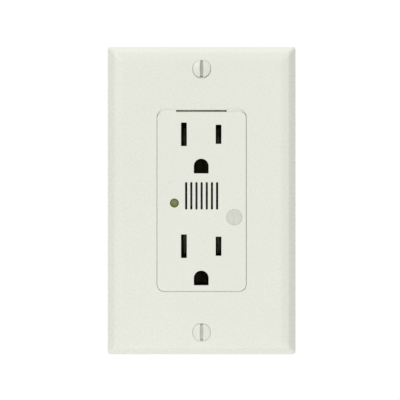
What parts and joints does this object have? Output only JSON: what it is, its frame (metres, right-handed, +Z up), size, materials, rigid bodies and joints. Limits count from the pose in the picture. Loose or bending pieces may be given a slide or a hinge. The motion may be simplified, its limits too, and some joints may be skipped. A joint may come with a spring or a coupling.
{
  "type": "duplex receptacle",
  "caption": "Wall receptacle with two grounded outlets, an alarm grille, a pilot lamp, a bevelled wall plate, a steel mounting strap and side screw terminals.",
  "frame": {"origin": "on the wall plane, at the middle of the wall plate, between the two plate screws", "axes": "+Z up along the long side of the plate, +Y into the wall, so the face looks along -Y; +X to the right seen from the front"},
  "size_m": [0.0698, 0.0376, 0.1142],
  "materials": {
    "white_plastic": "satin ivory-white thermoplastic",
    "white_paint": "white enamel on steel",
    "grey_plastic": "dark grey glass-filled nylon",
    "zinc_steel": "bright zinc plating",
    "brass": "plain brass",
    "nickel": "nickel plating on steel",
    "green_paint": "green finish on steel",
    "green_lens": "tinted epoxy lens, unlit",
    "board_green": "solder mask on fibreglass",
    "blue_resin": "epoxy coating",
    "yellow_film": "moulded box",
    "black_resin": "moulded resin",
    "brown_fibre": "vulcanised fibre",
    "beige_body": "coated body",
    "clear_nylon": "natural nylon"
  },
  "bodies": {
    "receptacle": {"wall_plate": "white_plastic", "face_cover": "white_plastic", "pilot_lamp": "green_lens", "pilot_spacer": "clear_nylon", "alarm_sounder": "black_resin", "mounting_strap": "zinc_steel", "self_ground_clip": "brass", "clip_rivet": "brass", "ground_rivet": "brass", "ground_contacts": "brass", "rear_housing": "grey_plastic", "line_contacts": "brass", "neutral_contacts": "brass", "housing_screw_upper_left": "zinc_steel", "housing_screw_upper_right": "zinc_steel", "housing_screw_lower_left": "zinc_steel", "housing_screw_lower_right": "zinc_steel", "circuit_board": "board_green", "varistor_line_neutral": "blue_resin", "varistor_line_ground": "blue_resin", "varistor_neutral_ground": "blue_resin", "thermal_fuse": "beige_body", "lamp_resistor": "beige_body", "bleed_resistor": "beige_body", "filter_capacitor": "yellow_film", "reservoir_capacitor": "black_resin", "alarm_driver_chip": "black_resin"},
    "upper_plate_screw": {"plate_screw_upper": "white_paint"},
    "lower_plate_screw": {"plate_screw_lower": "white_paint"},
    "upper_box_screw_carriage": {"screw_retainer_upper": "brown_fibre"},
    "lower_box_screw_carriage": {"screw_retainer_lower": "brown_fibre"},
    "upper_box_screw": {"device_screw_upper": "zinc_steel"},
    "lower_box_screw": {"device_screw_lower": "zinc_steel"},
    "ground_terminal_screw": {"ground_screw": "green_paint"},
    "line_upper_clamp": {"line_clamp_upper": "zinc_steel"},
    "line_lower_clamp": {"line_clamp_lower": "zinc_steel"},
    "neutral_upper_clamp": {"neutral_clamp_upper": "zinc_steel"},
    "neutral_lower_clamp": {"neutral_clamp_lower": "zinc_steel"},
    "line_upper_screw": {"line_screw_upper": "brass"},
    "line_lower_screw": {"line_screw_lower": "brass"},
    "neutral_upper_screw": {"neutral_screw_upper": "nickel"},
    "neutral_lower_screw": {"neutral_screw_lower": "nickel"}
  },
  "joints": [
    {"name": "plate_screw_upper_turn", "type": "hinge", "parent": "receptacle", "child": "upper_plate_screw", "pos_m": [0, -0.0056, 0.04842], "axis": [0, -1, 0], "continuous": true},
    {"name": "plate_screw_lower_turn", "type": "hinge", "parent": "receptacle", "child": "lower_plate_screw", "pos_m": [0, -0.0056, -0.04842], "axis": [0, -1, 0], "continuous": true},
    {"name": "box_screw_upper_shift", "type": "slide", "parent": "receptacle", "child": "upper_box_screw_carriage", "axis": [1, 0, 0], "range_m": [-0.002, 0.002]},
    {"name": "box_screw_lower_shift", "type": "slide", "parent": "receptacle", "child": "lower_box_screw_carriage", "axis": [1, 0, 0], "range_m": [-0.002, 0.002]},
    {"name": "box_screw_upper_turn", "type": "hinge", "parent": "upper_box_screw_carriage", "child": "upper_box_screw", "pos_m": [0, 0, 0.04165], "axis": [0, -1, 0], "continuous": true},
    {"name": "box_screw_lower_turn", "type": "hinge", "parent": "lower_box_screw_carriage", "child": "lower_box_screw", "pos_m": [0, 0, -0.04165], "axis": [0, -1, 0], "continuous": true},
    {"name": "ground_screw_turn", "type": "hinge", "parent": "receptacle", "child": "ground_terminal_screw", "pos_m": [-0.02, 0.006, -0.0272], "axis": [-1, 0, 0], "continuous": true},
    {"name": "line_clamp_upper_travel", "type": "slide", "parent": "receptacle", "child": "line_upper_clamp", "axis": [1, 0, 0], "range_m": [0, 0.00238]},
    {"name": "line_clamp_lower_travel", "type": "slide", "parent": "receptacle", "child": "line_lower_clamp", "axis": [1, 0, 0], "range_m": [0, 0.00238]},
    {"name": "neutral_clamp_upper_travel", "type": "slide", "parent": "receptacle", "child": "neutral_upper_clamp", "axis": [-1, 0, 0], "range_m": [0, 0.00238]},
    {"name": "neutral_clamp_lower_travel", "type": "slide", "parent": "receptacle", "child": "neutral_lower_clamp", "axis": [-1, 0, 0], "range_m": [0, 0.00238]},
    {"name": "line_screw_upper_turn", "type": "hinge", "parent": "line_upper_clamp", "child": "line_upper_screw", "pos_m": [0.0185, 0.0115, 0.012], "axis": [1, 0, 0], "range_deg": [0, 1080]},
    {"name": "line_screw_lower_turn", "type": "hinge", "parent": "line_lower_clamp", "child": "line_lower_screw", "pos_m": [0.0185, 0.0115, -0.012], "axis": [1, 0, 0], "range_deg": [0, 1080]},
    {"name": "neutral_screw_upper_turn", "type": "hinge", "parent": "neutral_upper_clamp", "child": "neutral_upper_screw", "pos_m": [-0.0185, 0.0115, 0.012], "axis": [-1, 0, 0], "range_deg": [0, 1080]},
    {"name": "neutral_screw_lower_turn", "type": "hinge", "parent": "neutral_lower_clamp", "child": "neutral_lower_screw", "pos_m": [-0.0185, 0.0115, -0.012], "axis": [-1, 0, 0], "range_deg": [0, 1080]}
  ],
  "couplings": [
    {"joint": "line_screw_upper_turn", "follows": "line_clamp_upper_travel", "rad_per_m": 7913.3},
    {"joint": "line_screw_lower_turn", "follows": "line_clamp_lower_travel", "rad_per_m": 7913.3},
    {"joint": "neutral_screw_upper_turn", "follows": "neutral_clamp_upper_travel", "rad_per_m": 7913.3},
    {"joint": "neutral_screw_lower_turn", "follows": "neutral_clamp_lower_travel", "rad_per_m": 7913.3}
  ]
}
